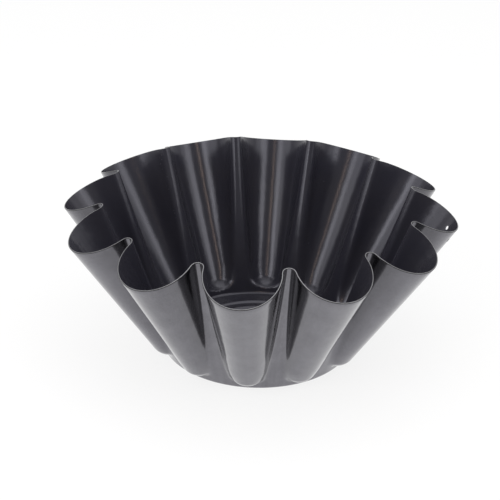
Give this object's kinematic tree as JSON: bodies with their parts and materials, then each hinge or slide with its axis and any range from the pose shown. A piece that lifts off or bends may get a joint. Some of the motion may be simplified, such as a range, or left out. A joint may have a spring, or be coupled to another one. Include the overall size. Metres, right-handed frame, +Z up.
{
  "type": "brioche mould",
  "caption": "Round fluted brioche mould: a flared bowl of thin pressed steel with deep rounded flutes, a scalloped rim, a flat base with raised ring beads, and a non-stick lining.",
  "frame": {"origin": "middle of the underside of the flat base, on the surface the mould stands on", "axes": "+Z up along the mould's own axis, +X through the middle of the flute that has the two small holes"},
  "size_m": [0.22, 0.22, 0.091],
  "materials": {
    "sheet_steel": "satin",
    "nonstick_coat": "satin"
  },
  "bodies": {
    "root": {"pressed_shell": "sheet_steel", "nonstick_lining": "nonstick_coat"}
  },
  "joints": []
}
